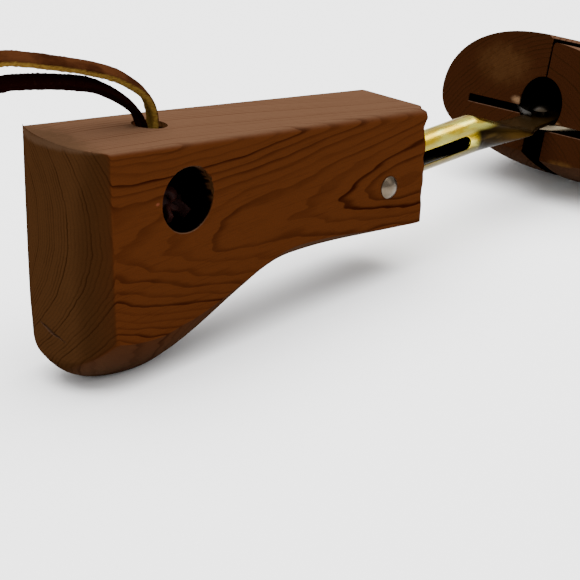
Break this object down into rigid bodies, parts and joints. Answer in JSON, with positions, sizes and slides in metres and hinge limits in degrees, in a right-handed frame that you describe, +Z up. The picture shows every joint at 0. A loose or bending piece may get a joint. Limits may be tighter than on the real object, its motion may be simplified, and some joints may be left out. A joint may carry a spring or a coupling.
{
  "type": "shoe tree",
  "caption": "Cedar boot shoe tree: a heel block on a sprung slotted tube that pushes a hinged split forefoot open through curved links, with a leather pull loop at the heel.",
  "frame": {"origin": "centre of the floor footprint box of the tree at its free length, without the lace: halfway between the back of the heel and the toe, on the floor plane", "axes": "+X from heel to toe, +Y to the wearer's inner (big toe) side of this right-foot tree, +Z up; the tree stands on its heel sole and forefoot soles at Z = 0"},
  "size_m": [0.3534, 0.094, 0.1046],
  "materials": {
    "cedar": "smooth sanded aromatic cedar, unfinished, reddish brown with darker grain",
    "brass_plate": "bright yellow brass plating",
    "hinge_brass": "satin brass",
    "nickel": "polished nickel plating",
    "bright_steel": "zinc plated, bright",
    "spring_steel": "oiled music wire",
    "leather_lace": "rawhide lace with a tan cut edge",
    "leather_knot": "dark red brown knotted lace ends"
  },
  "bodies": {
    "heel": {"heel_block": "cedar", "heel_rivet": "nickel", "heel_rivet_cap": "nickel", "stem_spring": "spring_steel", "lace_loop": "leather_lace", "lace_knot": "leather_knot"},
    "stem": {"stem_tube": "brass_plate", "link_rivet": "nickel", "link_washer": "nickel"},
    "toe_pin": {"toe_hinge_pin": "bright_steel"},
    "half_left": {"forefoot_left": "cedar", "toe_hinge_leaf_left": "hinge_brass", "hinge_screws_left": "hinge_brass", "link_pin_left": "bright_steel"},
    "half_right": {"forefoot_right": "cedar", "toe_hinge_leaf_right": "hinge_brass", "hinge_screws_right": "hinge_brass", "link_pin_right": "bright_steel"},
    "link_l": {"link_left": "bright_steel"},
    "link_r": {"link_right": "bright_steel"}
  },
  "joints": [
    {"name": "stem_slide", "type": "slide", "parent": "heel", "child": "stem", "axis": [1, 0, 0], "range_m": [-0.04, 0], "stiffness_N_per_m": 900, "springref_m": 0.018, "deforming": ["stem_spring"]},
    {"name": "toe_slide", "type": "slide", "parent": "stem", "child": "toe_pin", "axis": [-1, 0, 0], "range_m": [0, 0.00915]},
    {"name": "half_left_hinge", "type": "hinge", "parent": "toe_pin", "child": "half_left", "pos_m": [0.1575, 0, 0.012], "axis": [0, 0, -1], "range_deg": [0, 3.4]},
    {"name": "half_right_hinge", "type": "hinge", "parent": "toe_pin", "child": "half_right", "pos_m": [0.1575, 0, 0.012], "axis": [0, 0, 1], "range_deg": [0, 3.4]},
    {"name": "link_left_pivot", "type": "hinge", "parent": "stem", "child": "link_l", "pos_m": [0.065, 0, 0.0302], "axis": [0, 0, 1], "range_deg": [0, 23.46]},
    {"name": "link_right_pivot", "type": "hinge", "parent": "stem", "child": "link_r", "pos_m": [0.065, 0, 0.0264], "axis": [0, 0, -1], "range_deg": [0, 23.46]}
  ],
  "couplings": [
    {"joint": "half_left_hinge", "follows": "toe_slide", "rad_per_m": 6.484},
    {"joint": "half_right_hinge", "follows": "toe_slide", "rad_per_m": 6.484},
    {"joint": "link_left_pivot", "follows": "toe_slide", "rad_per_m": 44.738},
    {"joint": "link_right_pivot", "follows": "toe_slide", "rad_per_m": 44.738}
  ]
}
